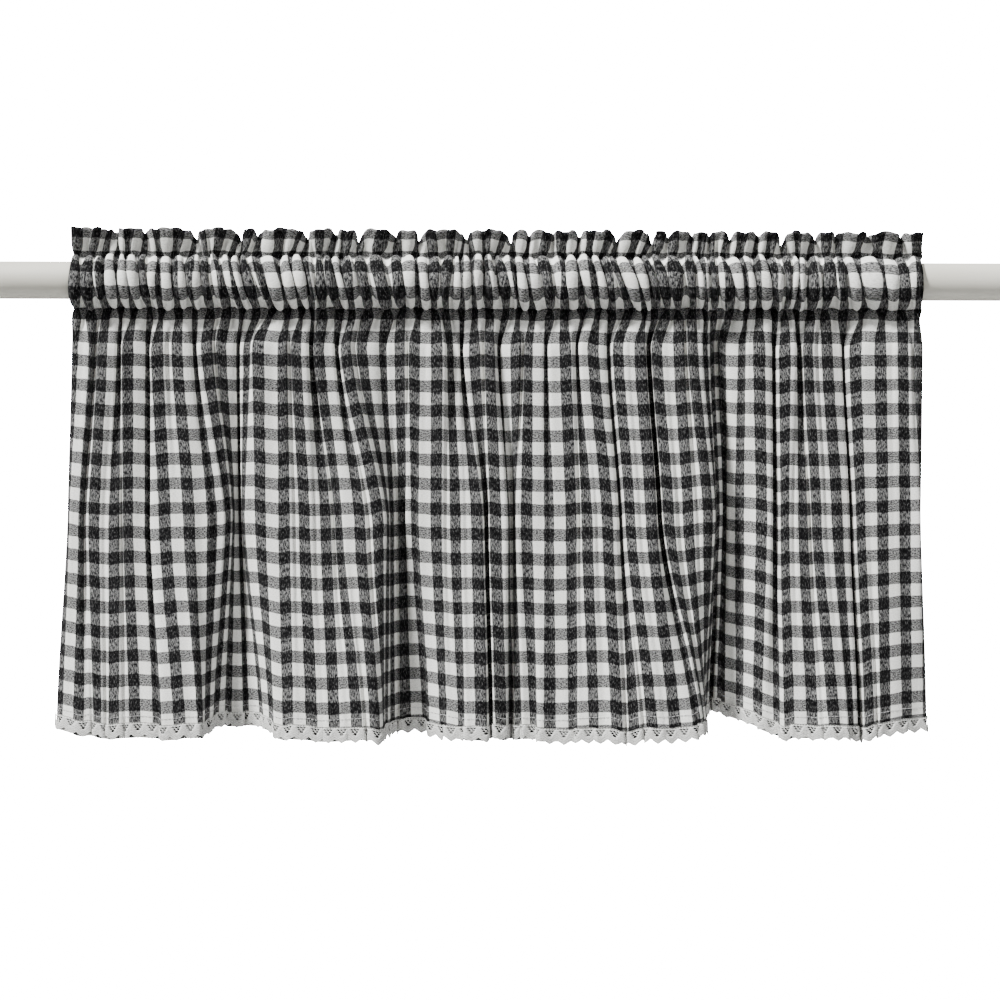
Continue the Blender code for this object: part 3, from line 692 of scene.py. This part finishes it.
def gingham_material():
    """Yarn-dyed gingham: dark and white yarns both ways, with the slubs of a cotton and linen yarn."""
    material, tree, shader = new_material("gingham", roughness=0.93, sheen=0.04)
    flat = add_node(tree, "ShaderNodeUVMap", uv_map="flat").outputs[0]
    split = add_node(tree, "ShaderNodeSeparateXYZ", {0: flat})
    across, up = split.outputs["X"], split.outputs["Y"]
    wander = ranged(tree, noise(tree, flat, (60.0, 60.0, 1.0)), 0.3, 0.7, -0.012, 0.012)
    warp_yarn = noise(tree, flat, (1150.0, 300.0, 1.0), detail=2.0, rough=0.7)
    weft_yarn = noise(tree, flat, (620.0, 1050.0, 1.0), detail=2.0, rough=0.7)
    warp = dark_stripe(tree, across, STRIPE_REPEAT, STRIPE_REPEAT * FIRST_STRIPE, wander)
    weft = dark_stripe(tree, up, WEFT_REPEAT, -FIRST_WEFT_DROP, wander)
    warp_streak = ranged(tree, warp_yarn, 0.40, 0.64)
    weft_streak = ranged(tree, weft_yarn, 0.38, 0.62)
    slub = ranged(tree, warp_yarn, 0.50, 0.72)
    white = mixed(tree, weft_streak, (0.62, 0.62, 0.588), (0.80, 0.80, 0.76))
    warp_dark = mixed(tree, warp_streak, (0.003, 0.003, 0.004), (0.185, 0.185, 0.180))
    weft_dark = mixed(tree, weft_streak, (0.018, 0.018, 0.018), (0.250, 0.250, 0.244))
    black = mixed(tree, slub, (0.0006, 0.0006, 0.0009), (0.0850, 0.0850, 0.0840))
    white_weft = mixed(tree, warp, white, warp_dark)
    dark_weft = mixed(tree, warp, weft_dark, black)
    tree.links.new(mixed(tree, weft, white_weft, dark_weft), shader.inputs["Base Color"])
    yarn_relief = calculate(tree, "ADD", warp_yarn, weft_yarn)
    bump = add_node(tree, "ShaderNodeBump", {"Strength": 0.35, "Distance": 0.0004, "Height": yarn_relief})
    tree.links.new(bump.outputs[0], shader.inputs["Normal"])
    return material


def lace_material():
    """Off-white cotton thread, closely worked, with the threads crossing on the slant."""
    material, tree, shader = new_material("cotton_lace", roughness=0.95, sheen=0.1)
    flat = add_node(tree, "ShaderNodeUVMap", uv_map="flat").outputs[0]
    turned = add_node(tree, "ShaderNodeVectorRotate", {"Vector": flat, "Angle": math.radians(45)},
                      rotation_type="Z_AXIS").outputs[0]
    rising = noise(tree, turned, (2600.0, 420.0, 1.0))
    falling = noise(tree, turned, (420.0, 2600.0, 1.0))
    threads = calculate(tree, "MULTIPLY", calculate(tree, "ADD", rising, falling), 0.5)
    split = add_node(tree, "ShaderNodeSeparateXYZ", {0: flat})
    turns = calculate(tree, "FRACT", calculate(tree, "DIVIDE", split.outputs["X"], LACE_MOTIF))
    aside = calculate(tree, "ABSOLUTE", calculate(tree, "SUBTRACT", turns, 0.5))
    slanted = calculate(tree, "MULTIPLY", aside, 2 * LACE_POINT)
    parallel = calculate(tree, "SUBTRACT", slanted, split.outputs["Y"])
    lines = calculate(tree, "SINE", calculate(tree, "MULTIPLY", parallel, math.tau / LACE_LINES))
    below_holes = ranged(tree, parallel, 0.0082, 0.0092)
    lines = calculate(tree, "MULTIPLY", ranged(tree, lines, -0.2, 1.0, 0.0, 0.45), below_holes)
    shade = calculate(tree, "SUBTRACT", ranged(tree, threads, 0.34, 0.62), lines, clamp=True)
    colour = mixed(tree, shade, (0.27, 0.27, 0.258), (0.66, 0.66, 0.635))
    tree.links.new(colour, shader.inputs["Base Color"])
    bump = add_node(tree, "ShaderNodeBump", {"Strength": 0.6, "Distance": 0.0004, "Height": threads})
    tree.links.new(bump.outputs[0], shader.inputs["Normal"])
    return material


def thread_material(name, low, high):
    """Sewing thread whose twist runs between two greys."""
    material, tree, shader = new_material(name, roughness=0.8)
    place = add_node(tree, "ShaderNodeTexCoord").outputs["Object"]
    twist = ranged(tree, noise(tree, place, (3000.0, 3000.0, 3000.0)), 0.3, 0.7)
    tree.links.new(mixed(tree, twist, (low,) * 3, (high,) * 3), shader.inputs["Base Color"])
    return material


def rod_material():
    """Satin off-white paint, with a faint orange-peel surface and slight unevenness of shade."""
    material, tree, shader = new_material("painted_rod", roughness=0.42)
    shader.inputs["Specular IOR Level"].default_value = 0.4
    place = add_node(tree, "ShaderNodeTexCoord").outputs["Object"]
    shade = ranged(tree, noise(tree, place, (9.0, 60.0, 60.0)), 0.3, 0.7)
    paint = mixed(tree, shade, (0.52, 0.505, 0.44), (0.56, 0.545, 0.48))
    tree.links.new(paint, shader.inputs["Base Color"])
    peel = noise(tree, place, (700.0, 700.0, 700.0))
    bump = add_node(tree, "ShaderNodeBump", {"Strength": 0.12, "Distance": 0.0003, "Height": peel})
    tree.links.new(bump.outputs[0], shader.inputs["Normal"])
    return material


def lace_grid(skirt):
    """The lace's points (rows, columns, 3), flat coordinates and a mask of the cells that are thread."""
    length = LACE_END_LEFT + CLOTH_WIDTH + LACE_END_RIGHT
    columns = round(LACE_CELLS * length / LACE_MOTIF) + 1
    flat = np.linspace(-LACE_END_LEFT, CLOTH_WIDTH + LACE_END_RIGHT, columns)
    stripes = stripe_place([d.stripe for d in LACE_DROPS])
    below = np.interp(flat, stripes, [d.below for d in LACE_DROPS]) * MILLIMETRE
    from_point = np.abs(2 * ((flat / LACE_MOTIF) % 1.0) - 1)
    edge = LACE_HEIGHT - LACE_POINT * (1 - (1 - from_point) ** 0.85)
    shares = np.linspace(1.0, 0.0, LACE_ROWS + 1)
    down = shares[:, None] * edge[None, :]
    along = np.broadcast_to(flat[None, :], down.shape).copy()

    def reach(hole, along, down):
        """Distances from a hole's centre, along and down, and 1 on the hole's rim."""
        off_along = ((along / LACE_MOTIF - hole.share + 0.5) % 1.0 - 0.5) * LACE_MOTIF
        off_down = down - hole.below * MILLIMETRE
        rim = np.hypot(off_along / hole.half_width, off_down / hole.half_height) / MILLIMETRE
        return off_along, off_down, rim

    for hole in LACE_HOLES:
        off_along, off_down, rim = reach(hole, along, down)
        near = np.abs(rim - 1) * min(hole.half_width, hole.half_height) < RIM_SNAP
        pull = np.where(near, 1 / np.maximum(rim, 1e-6) - 1.0, 0.0)
        along += off_along * pull
        down += off_down * pull
    kept = np.ones((down.shape[0] - 1, down.shape[1] - 1), dtype=bool)
    for hole in LACE_HOLES:
        rim = reach(hole, (along[:-1, :-1] + along[1:, 1:]) / 2, (down[:-1, :-1] + down[1:, 1:]) / 2)[2]
        kept &= rim > 1
    top_drop = SKIRT_LENGTH + below - LACE_HEIGHT
    drop = top_drop[None, :] + down
    points = np.array([skirt_points(skirt, along[r], drop[r]) for r in range(len(drop))])
    relief = np.zeros(down.shape)
    for hole in LACE_HOLES:
        from_rim = (reach(hole, along, down)[2] - 1) * min(hole.half_width, hole.half_height)
        relief = np.maximum(relief, np.exp(-((from_rim / RIM_WIDTH) ** 2)))
    clear = LACE_OUT + wrinkle_depth(along, drop) - LACE_RELIEF * relief
    points += outward_normals(points) * clear[:, :, None]
    flat_grid = np.stack([along, -down], axis=2)
    return points, flat_grid, kept


def stitch_paths(skirt, drop, out):
    """The paths of a row of stitches on the skirt at this drop."""
    starts = np.arange(0.003, CLOTH_WIDTH - STITCH_LENGTH, STITCH_LENGTH + STITCH_GAP)
    paths = []
    for start in starts:
        flat = np.linspace(start, start + STITCH_LENGTH, 4)
        points = skirt_points(skirt, flat, drop)
        direction = points[-1] - points[0]
        normal = np.array([direction[1], -direction[0], 0.0])
        normal /= max(np.linalg.norm(normal), 1e-9)
        arch = np.array([0.0, 1.0, 1.0, 0.0]) * out + wrinkle_depth(flat, drop)
        paths.append(points + normal * (out * 0.4 + arch[:, None]))
    return paths


def make_rod(material):
    """The rod, rounder than the CAD solid's facets, with softly broken edges at its ends."""
    low, high = (np.array(c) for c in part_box("curtain_rod"))
    radius = (high[2] - low[2]) / 2
    broken = 0.0008
    turns = np.linspace(0.0, math.tau, 97)
    profile = [(low[0], 0.0), (low[0], radius - broken), (low[0] + broken, radius)]
    profile += [(x, radius) for x in np.linspace(low[0], high[0], 25)[1:-1]]
    profile += [(high[0] - broken, radius), (high[0], radius - broken), (high[0], 0.0)]
    points = np.array([[(x, -r * math.cos(t), r * math.sin(t)) for x, r in profile] for t in turns])
    flat_grid = np.stack(np.broadcast_arrays(points[:, :, 0], turns[:, None] * radius), axis=2)
    rod = grid_object("rod", points, flat_grid, material)
    rod.data.set_sharp_from_angle(angle=math.radians(30))
    return rod


def make_stage():
    """The pale floor far below the window, the soft lights and the camera."""
    material, _, shader = new_material("pale_floor", roughness=0.9)
    shader.inputs["Base Color"].default_value = (0.80, 0.80, 0.80, 1.0)
    turns = np.linspace(0.0, math.tau, 65)
    middle = FRAME_CENTRE[0]
    rings = [
        [(middle + r * math.cos(t), r * math.sin(t), FLOOR_HEIGHT) for t in turns]
        for r in np.linspace(0.0, FLOOR_RADIUS, 5)
    ]
    points = np.array(rings)
    flat_grid = points[:, :, :2]
    grid_object("floor", points[:, ::-1], flat_grid, material)

    # The cloth is lit by a soft surround, and the photograph's white ground shows behind it.
    world = bpy.data.worlds.new("studio")
    world.use_nodes = True
    tree = world.node_tree
    direction = add_node(tree, "ShaderNodeTexCoord").outputs["Generated"]
    place = add_node(tree, "ShaderNodeSeparateXYZ", {0: direction})
    strength = ranged(tree, place.outputs["Z"], -0.3, 0.8, SURROUND_BELOW, SURROUND_ABOVE)
    surround = tree.nodes["Background"]
    surround.inputs["Color"].default_value = (1.0, 1.0, 1.0, 1.0)
    tree.links.new(strength, surround.inputs["Strength"])
    white = {"Color": (1.0, 1.0, 1.0, 1.0), "Strength": WHITE_GROUND}
    ground = add_node(tree, "ShaderNodeBackground", white)
    seen = add_node(tree, "ShaderNodeLightPath").outputs["Is Camera Ray"]
    both = add_node(tree, "ShaderNodeMixShader", {0: seen, 1: surround.outputs[0], 2: ground.outputs[0]})
    tree.links.new(both.outputs[0], tree.nodes["World Output"].inputs["Surface"])
    bpy.context.scene.world = world

    for light in LIGHTS:
        data = bpy.data.lights.new(light.name, "SUN")
        data.angle = math.radians(light.spread)
        data.energy = light.strength
        lamp = bpy.data.objects.new(light.name, data)
        lamp.rotation_euler = (math.radians(90.0 - light.elevation), 0.0, math.radians(light.azimuth))
        bpy.context.scene.collection.objects.link(lamp)

    view = bpy.data.cameras.new("camera")
    view.lens = 36.0 * CAMERA_DISTANCE / FRAME_WIDTH
    view.sensor_width = 36.0
    camera = bpy.data.objects.new("camera", view)
    camera.location = (FRAME_CENTRE[0], -CAMERA_DISTANCE, FRAME_CENTRE[1])
    camera.rotation_euler = (math.pi / 2, CAMERA_ROLL, 0.0)
    bpy.context.scene.collection.objects.link(camera)
    bpy.context.scene.camera = camera


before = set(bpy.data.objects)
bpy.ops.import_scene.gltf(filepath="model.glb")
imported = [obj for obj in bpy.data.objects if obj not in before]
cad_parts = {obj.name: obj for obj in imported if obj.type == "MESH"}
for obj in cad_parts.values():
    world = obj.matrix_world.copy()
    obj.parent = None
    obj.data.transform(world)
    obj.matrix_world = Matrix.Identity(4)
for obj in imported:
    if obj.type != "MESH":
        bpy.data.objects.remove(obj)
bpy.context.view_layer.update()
lines = levels()
skirt = skirt_rows(lines)

flat = np.linspace(0.0, CLOTH_WIDTH, CHECK_REPEATS * COLUMNS_PER_REPEAT + 1)
points, places = cloth_rows(lines, skirt, flat)
sheet, flat_grid = with_side_turnings(points, places, flat)
cloth = grid_object("cloth", sheet, flat_grid, gingham_material())
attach(cloth, "root")
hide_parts("valance_cloth")

lace_points, lace_flat, kept = lace_grid(skirt)
lace = grid_object("lace", lace_points, lace_flat, lace_material(), kept)
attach(lace, "root")
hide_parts("lace_edging")

hem_paths = stitch_paths(skirt, *HEM_STITCH[:2])
white_thread = thread_material("white_thread", 0.36, 0.50)
hem_stitches = thread_object("hem_stitches", hem_paths, HEM_STITCH[2], white_thread)
seam_paths = stitch_paths(skirt, *SEAM_STITCH[:2])
dark_thread = thread_material("dark_thread", 0.004, 0.02)
seam_stitches = thread_object("seam_stitches", seam_paths, SEAM_STITCH[2], dark_thread)
for stitches in (hem_stitches, seam_stitches):
    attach(stitches, "root")

rod = make_rod(rod_material())
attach(rod, "root")
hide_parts("curtain_rod")

make_stage()
